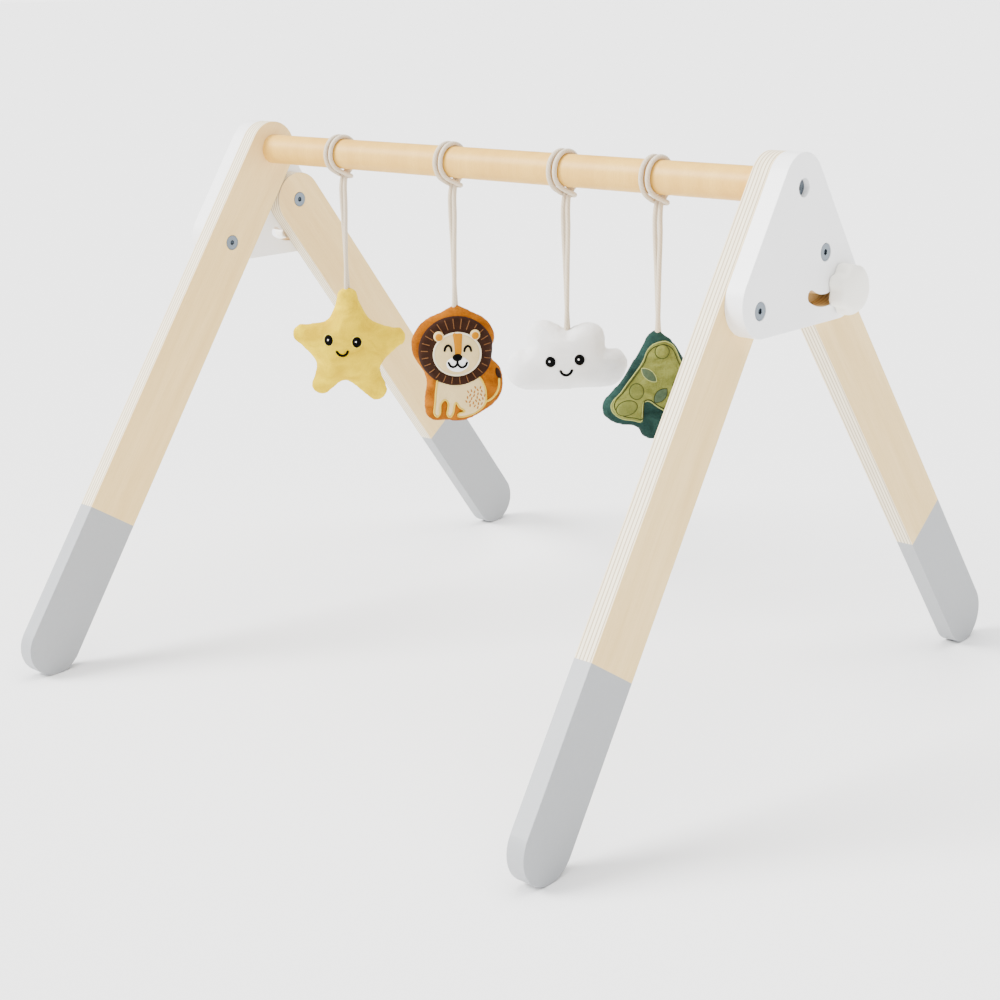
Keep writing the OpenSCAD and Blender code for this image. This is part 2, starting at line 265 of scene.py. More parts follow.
def white_lacquer():
    """Sprayed white paint with a faint orange peel. The inside of the curved slot is bare wood."""
    material, tree, shader = finish_of("white_lacquer", None, 0.38, Specular_IOR_Level=0.45)
    point = object_point(tree)
    cloudy = noise(tree, point, 30, 2)
    paint = mix(tree, cloudy, (0.9, 0.9, 0.91), (0.93, 0.93, 0.93))

    pivot = Vector(joints["rear_leg_right_fold"]["pos_m"])
    slot_r = (middle("knob_stud_right") - pivot).yz.length
    y = calc(tree, "SUBTRACT", dot(tree, point, (0, 1, 0)), pivot.y)
    z = calc(tree, "SUBTRACT", dot(tree, point, (0, 0, 1)), pivot.z)
    squares = calc(tree, "ADD", calc(tree, "MULTIPLY", y, y), calc(tree, "MULTIPLY", z, z))
    bare = calc(tree, "COMPARE", calc(tree, "SQRT", squares), slot_r, SLOT_HALF_W)
    bare = calc(tree, "MULTIPLY", bare, calc(tree, "LESS_THAN", y, SLOT_REAR_END))
    bare = calc(tree, "MULTIPLY", bare, calc(tree, "LESS_THAN", z, SLOT_TOP))
    normal = add(tree, "ShaderNodeTexCoord").outputs["Normal"]
    facing = calc(tree, "ABSOLUTE", dot(tree, normal, (1, 0, 0)))
    bare = calc(tree, "MULTIPLY", bare, calc(tree, "LESS_THAN", facing, 0.5))
    ply = calc(tree, "SINE", dot(tree, point, (math.tau / 3 / MM, 0, 0)))
    wood = mix(tree, spread(tree, ply, -1, 1), (0.56, 0.36, 0.14), (0.76, 0.55, 0.26))
    tree.links.new(mix(tree, bare, paint, wood), shader.inputs["Base Color"])
    tree.links.new(bump(tree, noise(tree, point, 700, 2), 0.03 * MM), shader.inputs["Normal"])
    return material


def metal(name, colour, roughness):
    """Plated metal with fine turned marks and small differences in polish."""
    material, tree, shader = finish_of(name, colour, roughness, Metallic=1)
    point = object_point(tree)
    marks = noise(tree, stretched(tree, point, ((1, 0, 0), (0, 1, 0), (0, 0, 1)), (200, 2500, 2500)), 1, 2)
    polish = spread(tree, marks, 0.3, 0.7, roughness * 0.75, roughness * 1.35)
    tree.links.new(polish, shader.inputs["Roughness"])
    tree.links.new(bump(tree, marks, 0.02 * MM), shader.inputs["Normal"])
    return material


def moulded_plastic():
    """Cream moulded plastic with a fine matt grain."""
    material, tree, shader = finish_of("knob_plastic", None, 0.36, Specular_IOR_Level=0.5)
    point = object_point(tree)
    tree.links.new(mix(tree, noise(tree, point, 60, 2), (0.92, 0.89, 0.8), (0.94, 0.92, 0.84)),
                   shader.inputs["Base Color"])
    tree.links.new(bump(tree, noise(tree, point, 1500, 2), 0.02 * MM), shader.inputs["Normal"])
    return material


def cotton_cord():
    """Soft cotton cord: its strands run round it at a slant, with fine fibres on them. The colour is darker
    in the grooves between the strands, which is painted shade, and the fibres vary its tone.
    """
    material, tree, shader = finish_of("cotton_cord", None, 0.85, Sheen_Weight=0.3, Sheen_Roughness=0.5)
    uv = add(tree, "ShaderNodeUVMap", {"uv_map": "along_round"}).outputs[0]
    along, around = add(tree, "ShaderNodeSeparateXYZ", _0=uv).outputs[:2]
    slant = calc(tree, "ADD", calc(tree, "MULTIPLY", along, 1.4), calc(tree, "MULTIPLY", around, 4.0))
    strand = calc(tree, "SINE", calc(tree, "MULTIPLY", slant, math.tau))
    fibres = noise(tree, object_point(tree), 2600, 3)
    height = calc(tree, "ADD", calc(tree, "MULTIPLY", strand, 0.25), calc(tree, "MULTIPLY", fibres, 1.4))
    # The colour follows the height: painted shade in the grooves between strands, and the fibres' own tone
    shade = spread(tree, height, -0.4, 1.4)
    tree.links.new(mix(tree, shade, (0.42, 0.34, 0.23), (0.68, 0.58, 0.44)), shader.inputs["Base Color"])
    tree.links.new(bump(tree, height, 0.12 * MM), shader.inputs["Normal"])
    return material


def plush(name, deep, pale, pile=1):
    """Short-pile plush: brushed patches of nap, a velvety sheen and a fine nap bump."""
    material, tree, shader = finish_of(
        name, None, 0.9, Sheen_Weight=0.06, Sheen_Roughness=0.35, Specular_IOR_Level=0.05)
    point = object_point(tree)
    brushed = stretched(tree, point, ((1, 0, 0), (0, 1, 0), (0, 0, 1)), (45, 50, 62))
    nap = noise(tree, brushed, 1, 4, 0.6, 0.8)
    fine = noise(tree, point, 1000, 3, 0.7)
    shade = calc(tree, "ADD", spread(tree, nap, 0.32, 0.68, 0, 0.75), spread(tree, fine, 0.3, 0.7, 0, 0.3))
    tree.links.new(mix(tree, shade, deep, pale), shader.inputs["Base Color"])
    soft = bump(tree, nap, 0.5 * MM * pile, 0.6)
    tree.links.new(bump(tree, fine, 0.5 * MM * pile, 0.8, soft), shader.inputs["Normal"])
    return material


def felt(name, deep, pale):
    """Pressed wool felt: matt, with tangled fibres a few tenths of a millimetre long."""
    material, tree, shader = finish_of(
        name, None, 0.95, Sheen_Weight=0.02, Sheen_Roughness=0.6, Specular_IOR_Level=0.05)
    point = object_point(tree)
    fibres = noise(tree, point, 1100, 4, 0.75, 1.5)
    cloudy = noise(tree, point, 90, 2)
    shade = calc(tree, "ADD", spread(tree, fibres, 0.3, 0.7, 0, 0.6), spread(tree, cloudy, 0.3, 0.7, 0, 0.4))
    tree.links.new(mix(tree, shade, deep, pale), shader.inputs["Base Color"])
    tree.links.new(bump(tree, fibres, 0.15 * MM, 0.8), shader.inputs["Normal"])
    return material


def thread(name, colour, angle=20):
    """Satin stitching: close parallel threads laid at an angle across the shape. The colour is darker in the
    grooves between the threads, which is painted shade.
    """
    material, tree, shader = finish_of(name, None, 0.7, Specular_IOR_Level=0.04)
    turn = math.radians(angle)
    across = dot(tree, object_point(tree), (math.sin(turn), 0, math.cos(turn)))
    ridge = calc(tree, "SINE", calc(tree, "MULTIPLY", across, math.tau / (0.45 * MM)))
    # Darker colour in the grooves between threads: painted shade
    tree.links.new(mix(tree, spread(tree, ridge, -1, 1), tuple(0.8 * c for c in colour), colour),
                   shader.inputs["Base Color"])
    tree.links.new(bump(tree, ridge, 0.08 * MM, 0.7), shader.inputs["Normal"])
    return material


# ---------- Mesh building ----------

def smooth_line(points, step, closed=False):
    """Points about step apart on a smooth curve through given points."""
    p = np.array(points, float)
    count = len(p)
    made = []
    for i in range(count if closed else count - 1):
        if closed:
            a, b, c, d = (p[(i + k) % count] for k in (-1, 0, 1, 2))
        else:
            b, c = p[i], p[i + 1]
            a = p[i - 1] if i else 2 * b - c
            d = p[i + 2] if i + 2 < count else 2 * c - b
        parts = max(1, round(float(np.linalg.norm(c - b)) / step))
        for k in range(parts):
            t = k / parts
            made.append(0.5 * (2 * b + (c - a) * t + (2 * a - 5 * b + 4 * c - d) * t ** 2
                               + (3 * b - a - 3 * c + d) * t ** 3))
    if not closed:
        made.append(p[-1])
    return np.array(made)


def length_of(line):
    """Length of a line of points."""
    return float(np.linalg.norm(np.diff(line, axis=0), axis=1).sum())


def new_piece(name, verts, faces, material):
    """A smooth mesh object with one material."""
    mesh = bpy.data.meshes.new(name)
    mesh.from_pydata([tuple(v) for v in verts], [], [tuple(f) for f in faces])
    mesh.materials.append(material)
    mesh.polygons.foreach_set("use_smooth", [True] * len(mesh.polygons))
    mesh.update()
    piece = bpy.data.objects.new(name, mesh)
    scene.collection.objects.link(piece)
    return piece


def outwards(piece):
    """Turns every face of a closed piece outwards."""
    work = bmesh.new()
    work.from_mesh(piece.data)
    bmesh.ops.recalc_face_normals(work, faces=work.faces)
    work.to_mesh(piece.data)
    work.free()
    return piece


def tidy_mesh(piece):
    """Merges points that coincide, drops faces with no area and turns the rest outwards."""
    work = bmesh.new()
    work.from_mesh(piece.data)
    bmesh.ops.remove_doubles(work, verts=work.verts, dist=0.02 * MM)
    bmesh.ops.dissolve_degenerate(work, edges=work.edges, dist=0.001 * MM)
    bmesh.ops.recalc_face_normals(work, faces=work.faces)
    work.to_mesh(piece.data)
    work.free()
    piece.data.polygons.foreach_set("use_smooth", [True] * len(piece.data.polygons))
    return piece


def subdivide(piece):
    """Applies one subdivision to a piece."""
    rounding = piece.modifiers.new("rounding", "SUBSURF")
    rounding.levels = rounding.render_levels = 1
    shaped = piece.evaluated_get(bpy.context.evaluated_depsgraph_get())
    mesh = bpy.data.meshes.new_from_object(shaped)
    piece.modifiers.remove(rounding)
    piece.data = mesh


def tube_mesh(line, radius, sides, flatten=None):
    """Vertices and faces of a round tube with domed ends. flatten is (direction, share) for an oval tube."""
    line = np.array(line, float)
    ahead = np.gradient(line, axis=0)
    ahead /= np.linalg.norm(ahead, axis=1)[:, None]
    side = np.cross(ahead[0], (0.3, 0.9, 0.2))
    verts = []
    dome = ((0.9, 0.45), (0.55, 0.84))
    rings = [(0, -radius * out, share) for out, share in dome]
    rings += [(i, 0, 1) for i in range(len(line))]
    rings += [(len(line) - 1, radius * out, share) for out, share in dome[::-1]]
    for i, offset, share in rings:
        side = side - ahead[i] * (side @ ahead[i])
        side /= np.linalg.norm(side)
        other = np.cross(ahead[i], side)
        for k in range(sides):
            turn = math.tau * k / sides
            reach = radius * share * (math.cos(turn) * side + math.sin(turn) * other)
            if flatten is not None:
                reach -= flatten[0] * (reach @ flatten[0]) * (1 - flatten[1])
            verts.append(line[i] + ahead[i] * offset + reach)
    faces = [
        (r * sides + k, r * sides + (k + 1) % sides, (r + 1) * sides + (k + 1) % sides, (r + 1) * sides + k)
        for r in range(len(rings) - 1) for k in range(sides)
    ]
    faces.append(tuple(range(sides - 1, -1, -1)))
    faces.append(tuple((len(rings) - 1) * sides + k for k in range(sides)))
    return verts, faces


def round_edges(node, width, material):
    """Softens a CAD node's sharp edges with modifiers, not in its mesh, and gives it a material."""
    piece = nodes[node]
    piece.data.materials.clear()
    piece.data.materials.append(material)
    weld = piece.modifiers.new("weld", "WELD")
    weld.merge_threshold = 0.001 * MM
    flat = piece.modifiers.new("flat", "DECIMATE")
    flat.decimate_type = "DISSOLVE"
    flat.angle_limit = math.radians(0.5)
    bevel = piece.modifiers.new("bevel", "BEVEL")
    bevel.width = width
    bevel.segments = 3
    bevel.limit_method = "ANGLE"
    bevel.angle_limit = math.radians(40)
    bevel.use_clamp_overlap = True
    weighted = piece.modifiers.new("weighted", "WEIGHTED_NORMAL")
    weighted.keep_sharp = True


# ---------- Cords ----------

CORD_D = 3.8 * MM
BAR = middle("crossbar")

# A strand below the hitch: half the pair's spacing, way down 0..1, and the pair's twist in degrees
STRAND_ROUTE = (
    (2.1, 0, 0), (2.6, 0.1, -5), (3, 0.22, -11), (2.8, 0.34, -17), (2.3, 0.48, -25),
    (2, 0.62, -34), (2, 0.78, -46), (2, 0.9, -60), (2, 1, -76),
)

# Half of a cow hitch from the middle of its bight to the top of a strand: x, y, z from the bar's axis
HITCH_ROUTE = (
    (0, 8.2, -20.4), (3.4, 7.9, -20.3), (5.6, 5.8, -19.6), (6.2, 2.6, -18.4), (5.8, -1, -16.6),
    (4.9, -5, -14.8), (3.9, -10, -11.6), (3.2, -13.9, -6.4), (3.1, -15.3, 0), (3.1, -13.3, 7.6),
    (3.1, -7.7, 13.2), (3.1, 0, 15.3), (3.1, 7.7, 13.2), (3.1, 13.3, 7.6), (3, 15.3, 0),
    (2.8, 13.6, -7), (2.5, 10, -12.6), (2.3, 6.2, -16.4),
)
# How far each toy has turned about its cord, in degrees, and how deep the cord's ends go into it, in mm
TOYS = {
    "star": {"turn": 55, "sunk": 3.5},
    "lion": {"turn": 52, "sunk": 3.5},
    "cloud": {"turn": 41, "sunk": 4},
    "dino": {"turn": 46, "sunk": 3.5},
}


def cord_line(name):
    """The centreline of a toy's cord: up one strand, round the bar and its own bight, and down the other."""
    swing = Vector(joints[f"{name}_swing"]["pos_m"])
    length = swing.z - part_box(f"cord_{name}")[0].z + TOYS[name]["sunk"] * MM
    half = {}
    for side in (-1, 1):
        at_bar = Vector((swing.x, BAR.y, BAR.z))
        hitch = [at_bar + Vector((side * x * MM, y * MM, z * MM)) for x, y, z in HITCH_ROUTE]
        strand = []
        for spacing, way, degrees in STRAND_ROUTE[1:]:
            turn = math.radians(degrees)
            strand.append(swing + Vector((
                side * spacing * MM * math.cos(turn), side * spacing * MM * math.sin(turn), -length * way)))
        top = swing + Vector((side * STRAND_ROUTE[0][0] * MM, 1.6 * MM, -1.5 * MM))
        half[side] = hitch + [top] + strand
    return smooth_line(half[-1][::-1] + half[1][1:], 1.6 * MM)


def make_cord(name, material):
    line = cord_line(name)
    sides = 14
    verts, faces = tube_mesh(line, CORD_D / 2, sides)
    piece = outwards(new_piece(f"{name}_cord_whole", verts, faces, material))
    uv = piece.data.uv_layers.new(name="along_round")
    step = length_of(line) / (len(line) - 1) / CORD_D
    for face in piece.data.polygons:
        places = [(piece.data.loops[i].vertex_index // sides, piece.data.loops[i].vertex_index % sides)
                  for i in face.loop_indices]
        wraps = max(p[1] for p in places) == sides - 1 and min(p[1] for p in places) == 0
        for i, (ring, k) in zip(face.loop_indices, places):
            uv.data[i].uv = (ring * step, (sides if wraps and k == 0 else k) / sides)
    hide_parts(f"hitch_{name}", f"cord_{name}")
    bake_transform(piece)


cord_material = cotton_cord()
for toy in TOYS:
    make_cord(toy, cord_material)


# ---------- Frame ----------

STEEL_PARTS = ("bar_insert", "bar_bolt", "frame_bolt", "frame_nut", "pivot_bolt", "pivot_nut", "knob_stud")
BRASS_PARTS = ("leg_insert", "knob_bush")
# Length of the paint on each leg, from its very end
FRONT_PAINT, REAR_PAINT = 143.4 * MM, 150.4 * MM


def leg_direction(leg, top):
    """A leg's direction from a point at its top to the middle of its round foot, and that middle."""
    low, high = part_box(leg)
    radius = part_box("front_leg_right")[1].z - BAR.z
    outer = high.y if "rear" in leg else low.y
    foot = Vector((0, outer - math.copysign(radius, outer), low.z + radius))
    return (foot - top).normalized(), foot


def finish_frame():
    """Materials and soft edges of every CAD node that shows."""
    steel = metal("steel", (0.14, 0.165, 0.19), 0.2)
    brass = metal("brass", (0.45, 0.26, 0.06), 0.3)
    lacquer = white_lacquer()
    round_edges("crossbar", 0.5 * MM, bar_wood())
    for side in SIDES:
        pivot = Vector(joints[f"rear_leg_{side}_fold"]["pos_m"])
        for leg, top, painted in (("front_leg", BAR, FRONT_PAINT), ("rear_leg", pivot, REAR_PAINT)):
            name = f"{leg}_{side}"
            along, foot = leg_direction(name, Vector((0, top.y, top.z)))
            round_edges(name, 0.7 * MM, birch_ply(f"birch_ply_{name}", along, foot, painted))
        round_edges(f"bracket_{side}", 1.1 * MM, lacquer)
        for part in STEEL_PARTS:
            round_edges(f"{part}_{side}", 0.25 * MM, steel)
        for part in BRASS_PARTS:
            round_edges(f"{part}_{side}", 0.25 * MM, brass)


finish_frame()


# ---------- Clamp knobs ----------

KNOB_LOBES = 7
# Section of a knob from its bush hole's floor to its dome's top: share of radius, of height
KNOB_PROFILE = (
    (0, 0.53), (0.3, 0.53), (0.3, 0.01), (0.32, 0), (0.88, 0), (0.96, 0.03), (1, 0.1), (1, 0.24), (1, 0.4),
    (0.99, 0.54), (0.96, 0.66), (0.9, 0.76), (0.8, 0.85), (0.66, 0.92), (0.48, 0.965), (0.26, 0.99), (0, 1),
)


def make_knob(side, material):
    """A domed knob with shallow finger lobes, hollow at the back for its brass bush."""
    low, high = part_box(f"knob_{side}")
    centre = middle(f"knob_{side}")
    out = math.copysign(1, centre.x)
    radius, height = (high.z - low.z) / 2, high.x - low.x
    base = low.x if out > 0 else high.x
    steps = KNOB_LOBES * 16
    verts, faces = [], []
    for share, rise in KNOB_PROFILE:
        lobed = min(1, max(0, (share - 0.45) / 0.5)) * min(1, max(0, (0.85 - rise) / 0.45))
        for k in range(steps):
            turn = math.tau * k / steps
            valley = (0.5 - 0.5 * math.cos(KNOB_LOBES * turn)) ** 1.5
            r = radius * share * (1 - 0.16 * lobed * valley)
            rim = centre.y + r * math.cos(turn), centre.z + r * math.sin(turn)
            verts.append((base + out * height * rise, *rim))
    for ring in range(len(KNOB_PROFILE) - 1):
        for k in range(steps):
            a, b = ring * steps + k, ring * steps + (k + 1) % steps
            faces.append((a, b, b + steps, a + steps))
    piece = tidy_mesh(new_piece(f"knob_moulding_{side}", verts, faces, material))
    subdivide(piece)
    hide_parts(f"knob_{side}")
    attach(piece, f"clamp_{side}")


knob_material = moulded_plastic()
for side in SIDES:
    make_knob(side, knob_material)


# ---------- Stuffed and sewn pieces ----------

def edge_distance(points, outline):
    """How far each flat point lies from a closed outline."""
    a = outline
    ab = np.roll(outline, -1, 0) - a
    d = points[:, None] - a[None]
    t = np.clip((d * ab).sum(2) / np.maximum((ab * ab).sum(1), 1e-15), 0, 1)
    return np.linalg.norm(d - t[..., None] * ab, axis=2).min(1)


def inside(points, outline):
    """Which flat points lie inside a closed outline."""
    a, b = outline, np.roll(outline, -1, 0)
    y = points[:, 1][:, None]
    crosses = (a[:, 1] > y) != (b[:, 1] > y)
    slope = np.where(np.abs(b[:, 1] - a[:, 1]) < 1e-12, 1e-12, b[:, 1] - a[:, 1])
    at = a[:, 0] + (y - a[:, 1]) * (b[:, 0] - a[:, 0]) / slope
    return (crosses & (points[:, 0][:, None] < at)).sum(1) % 2 == 1


def flat_mesh(outline, step):
    """A closed outline filled with near-equal triangles. Returns points, triangles and the rim's numbers."""
    low, high = outline.min(0), outline.max(0)
    rows = np.arange(low[1], high[1], step * 0.866)
    lattice = np.array([
        (u, w) for i, w in enumerate(rows) for u in np.arange(low[0] + (i % 2) * step / 2, high[0], step)
    ])
    lattice = lattice[inside(lattice, outline)]
    lattice = lattice[edge_distance(lattice, outline) > 0.55 * step]
    given = [Vector(p) for p in (*outline, *lattice)]
    rim = list(range(len(outline)))
    found = geometry.delaunay_2d_cdt(given, [], [rim], 1, 1e-7)
    points = np.array([tuple(v) for v in found[0]])
    place = {old: new for new, olds in enumerate(found[3]) for old in olds}
    return points, [tuple(f) for f in found[2]], [place[i] for i in rim]


def shell_mesh(outline, step, front, back):
    """A closed solid over a flat outline. front and back give its depth at flat points, from the points,
    their distance to the outline, the triangles between them and the numbers of the rim's points.
    """
    points, triangles, rim = flat_mesh(outline, step)
    away = edge_distance(points, outline)
    away[rim] = 0
    count = len(points)
    flat = (points, away, np.array(triangles), rim)
    verts = [(p[0], y, p[1]) for p, y in zip(points, front(*flat))]
    verts += [(p[0], y, p[1]) for p, y in zip(points, back(*flat))]
    faces = list(triangles) + [tuple(i + count for i in reversed(f)) for f in triangles]
    for a, b in zip(rim, rim[1:] + rim[:1]):
        faces.append((b, a, a + count, b + count))
    return verts, faces


CROWN_ROUNDS = 900


def crown(away, triangles, rim, flatness):
    """Height 0..1 of a skin blown up over a flat outline. More flatness widens its level middle."""
    ends = np.vstack([triangles[:, (0, 1)], triangles[:, (1, 2)], triangles[:, (2, 0)]])
    ends = np.vstack([ends, ends[:, ::-1]])
    links = np.bincount(ends[:, 0], minlength=len(away))
    height = np.zeros(len(away))
    for _ in range(CROWN_ROUNDS):
        total = np.bincount(ends[:, 0], weights=height[ends[:, 1]], minlength=len(away))
        height = (total / np.maximum(links, 1) + 1) / (1 + flatness)
        height[rim] = 0
    return height / height.max()


def puckers(points, away, outline, pitch, reach):
    """Small gathers -1..1 square to the seam, which fade out within reach of it."""
    run = np.concatenate([[0], np.cumsum(np.linalg.norm(np.diff(outline, axis=0), axis=1))])
    near = np.linalg.norm(points[:, None] - outline[None], axis=2).argmin(1)
    way = run[near]
    uneven = 2.1 * np.sin(way / pitch * 0.83) + 1.3 * np.sin(way / pitch * 0.37)
    wave = np.sin(math.tau * way / pitch + uneven)
    return wave * np.exp(-away / reach) * np.clip(away / reach * 2, 0, 1)


FILLING_FRAMES = 20


def swell(piece, outline, thickness, cap):
    """Stuffs a sewn piece with the cloth solver. Its cloth fills out, no point moves further than cap, and
    the whole is brought back to its outline and thickness.
    """
    rest = np.array([v.co for v in piece.data.vertices])
    cloth = piece.modifiers.new("stuffing", "CLOTH")
    cloth.point_cache.frame_start, cloth.point_cache.frame_end = 1, FILLING_FRAMES
    settings = cloth.settings
    settings.quality = 8
    settings.mass = 0.05
    settings.tension_stiffness = settings.compression_stiffness = 12
    settings.shear_stiffness = 5
    settings.bending_stiffness = 0.2
    settings.use_pressure = True
    settings.uniform_pressure_force = 4
    settings.effector_weights.gravity = 0
    for step in range(1, FILLING_FRAMES + 1):
        scene.frame_set(step)
    shaped = piece.evaluated_get(bpy.context.evaluated_depsgraph_get())
    moved = np.array([v.co for v in shaped.data.vertices]) - rest
    moved -= moved.mean(0)
    size = np.linalg.norm(moved, axis=1)[:, None]
    moved *= np.minimum(1, cap / np.maximum(size, 1e-9))
    piece.modifiers.remove(cloth)
    scene.frame_set(1)
    filled = rest + moved
    for axis, low, high in (
        (0, outline[:, 0].min(), outline[:, 0].max()), (1, -thickness / 2, thickness / 2),
        (2, outline[:, 1].min(), outline[:, 1].max()),
    ):
        span = filled[:, axis].min(), filled[:, axis].max()
        filled[:, axis] = low + (filled[:, axis] - span[0]) * (high - low) / (span[1] - span[0])
    piece.data.vertices.foreach_set("co", filled.astype(np.float32).ravel())
    piece.data.update()


class Toy:
    """A hanging toy: where it hangs, its stuffed body and the shapes sewn on its face."""

    def __init__(self, name):
        swing = Vector(joints[f"{name}_swing"]["pos_m"])
        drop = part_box(f"cord_{name}")[0].z
        self.name = name
        self.body = joints[f"{name}_twist"]["child"]
        self.place = Matrix.Translation((swing.x, swing.y, drop)) @ Matrix.Rotation(
            math.radians(TOYS[name]["turn"]), 4, "Z")

    def stuffed(self, outline, thickness, flatness, edge, material, cap):
        """The body: two panels sewn round the outline and stuffed, with a lump where the cord goes in.
        edge is 0.5 for a round rim and 1 for a sharp one.
        """
        def depth(points, away, triangles, rim):
            height = crown(away, triangles, rim, flatness) ** edge
            gathers = 0.35 * MM * puckers(points, away, outline, 8 * MM, 6 * MM)
            sway = 0.4 * MM * np.sin(points[:, 0] * 160 + 1) * np.sin(points[:, 1] * 190 + 2) * height
            full = thickness / 2 * height + (gathers + sway) * np.clip(away / 3 / MM, 0, 1)
            full = np.maximum(full, 3 * MM * np.sqrt(np.clip(away / 3 / MM, 0, 1)))
            from_cord = np.linalg.norm(points - (0, -5 * MM), axis=1)
            lump = 5.4 * MM * np.sqrt(np.clip(1 - (from_cord / 11 / MM) ** 2, 0, 1))
            return np.maximum(full, lump * (0.8 + 0.2 * np.clip(away / 2 / MM, 0, 1)))
        verts, faces = shell_mesh(outline, 2.2 * MM, lambda *flat: -depth(*flat), depth)
        piece = tidy_mesh(new_piece(f"{self.name}_body", verts, faces, material))
        swell(piece, outline, thickness, cap)
        subdivide(piece)
        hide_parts(f"toy_{self.name}")
        self.surface = BVHTree.FromPolygons(
            [v.co for v in piece.data.vertices], [tuple(p.vertices) for p in piece.data.polygons])
        return self.hang(piece)

    def hang(self, piece):
        """Puts a piece made in the toy's own coordinates in its place on the toy."""
        piece.matrix_world = self.place
        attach(piece, self.body)
        return piece

    def face_depth(self, points):
        """Depth of the toy's front at each flat point."""
        found = []
        for u, w in points:
            hit = self.surface.ray_cast(Vector((u, -0.1, w)), Vector((0, 1, 0)))[0]
            found.append(hit.y if hit else 0)
        return np.array(found)

    def patch(self, name, outline, base, lift, material, slot, round_edge=0.6 * MM, step=1.6 * MM, dome=0):
        """A sewn-on shape that follows the front. base is the height of what it lies on, lift that of its
        own top, and dome how far its middle stands above that.
        """
        def front(points, away, triangles, rim):
            edge = np.clip(away / round_edge, 0, 1)
            rise = (lift - base) * (0.35 + 0.65 * np.sqrt(1 - (1 - edge) ** 2))
            return self.face_depth(points) - base - rise - dome * np.clip(away / 4 / MM, 0, 1)

        def back(points, away, triangles, rim):
            return self.face_depth(points) - base + 0.6 * MM
        verts, faces = shell_mesh(outline, step, front, back)
        piece = tidy_mesh(new_piece(f"{self.name}_{name}", verts, faces, material))
        return self.hang(piece)

    def stitched(self, name, lines, width, lift, material, slot, closed=False):
        """Raised embroidered lines that follow the front, as one piece. lift is the height under them."""
        verts, faces = [], []
        for line in lines:
            flat = smooth_line(line, 0.8 * MM, closed) if len(line) > 2 else np.array(line, float)
            if closed:
                flat = np.vstack([flat, flat[:1]])
            if len(flat) == 2:
                flat = np.linspace(flat[0], flat[1], 5)
            depth = self.face_depth(flat) - lift
            path = np.column_stack([flat[:, 0], depth, flat[:, 1]])
            v, f = tube_mesh(path, width / 2, 8, (np.array((0, 1, 0)), 0.7))
            faces += [tuple(i + len(verts) for i in face) for face in f]
            verts += v
        piece = outwards(new_piece(f"{self.name}_{name}", verts, faces, material))
        return self.hang(piece)


def mm(points):
    """Flat points given in millimetres, in metres."""
    return np.array(points, float) * MM


def turned(centre, x, y, turn):
    """Flat points in millimetres turned by some degrees, set round a centre and given in metres."""
    a = math.radians(turn)
    return mm(np.column_stack([
        centre[0] + x * math.cos(a) - y * math.sin(a), centre[1] + x * math.sin(a) + y * math.cos(a)]))


def oval(centre, across, up, turn=0, steps=28):
    """An ellipse as a closed outline. Sizes are half widths in millimetres, turn is in degrees."""
    t = np.linspace(0, math.tau, steps, endpoint=False)
    return turned(centre, across * np.cos(t), up * np.sin(t), turn)


def leaf(centre, length, width, turn):
    """A leaf shape with two pointed ends as a closed outline."""
    t = np.linspace(0, math.tau, 28, endpoint=False)
    return turned(centre, length / 2 * np.cos(t), width / 2 * np.sin(t) * np.abs(np.sin(t)) ** 0.6, turn)


BLACK_THREAD = thread("black_thread", (0.0015, 0.0015, 0.0015))
WHITE_THREAD = thread("white_thread", (0.85, 0.85, 0.86), 70)


def bead_eye(toy, name, centre, across, up, slot, halo):
    """An embroidered eye: a domed black oval with a small white glint and a pale ring round it."""
    toy.patch(f"{name}_eye", oval(centre, across, up), 0, 0.7 * MM, BLACK_THREAD, slot,
              0.8 * MM, 0.9 * MM, 0.5 * MM)
    ring = oval(centre, across + 0.5, up + 0.5)
    toy.stitched(f"{name}_ring", [ring], 1.2 * MM, 0, halo, slot, closed=True)
    glint = oval((centre[0] - 0.2 * across, centre[1] + 0.1 * up), 0.75, 0.8, steps=14)
    toy.patch(f"{name}_glint", glint, 1.1 * MM, 1.5 * MM, WHITE_THREAD, slot, 0.4 * MM, 0.5 * MM)


# ---------- Star ----------

STAR_CENTRE = (0, -55)
STAR_TIP_R = 10.5
# Clockwise from the top: angle and reach of each tip, and of the valley after it
STAR_ARMS = (
    ((90, 55.5), (52, 34)), ((10.5, 52.5), (-32, 34.5)), ((-59.5, 56), (-98, 31)),
    ((-130, 50), (-162, 33.5)), ((158.5, 53.5), (124, 35)),
)


def star_outline():
    """Five rounded arms joined by curved valleys."""
    made = []
    for (tip_angle, reach), (valley_angle, valley) in STAR_ARMS:
        a, b = math.radians(tip_angle), math.radians(valley_angle)
        for swing in (90, 45, 0, -45, -90):
            c = a + math.radians(swing)
            r = reach - STAR_TIP_R
            made.append((STAR_CENTRE[0] + r * math.cos(a) + STAR_TIP_R * math.cos(c),
                         STAR_CENTRE[1] + r * math.sin(a) + STAR_TIP_R * math.sin(c)))
        made.append((STAR_CENTRE[0] + valley * math.cos(b), STAR_CENTRE[1] + valley * math.sin(b)))
    return smooth_line(mm(made[::-1]), 2 * MM, closed=True)


def make_star():
    """The plump yellow star."""
    yellow = plush("yellow_plush", (0.56, 0.36, 0), (0.87, 0.64, 0))
    pale = thread("lemon_thread", (0.86, 0.66, 0.06), 45)
    toy = Toy("star")
    toy.stuffed(star_outline(), 30 * MM, 0, 0.55, yellow, 4 * MM)
    bead_eye(toy, "left", (-19.8, -44), 3.6, 4.8, "yellow_plush", pale)
    bead_eye(toy, "right", (5, -47), 4.2, 4.8, "yellow_plush", pale)
    smile = mm([(-13.2, -54.6), (-11.4, -57.2), (-8.2, -58.5), (-5.2, -57.6), (-3.6, -55)])
    toy.stitched("smile", [smile], 2.4 * MM, 0.3 * MM, BLACK_THREAD, "yellow_plush")


# ---------- Cloud ----------

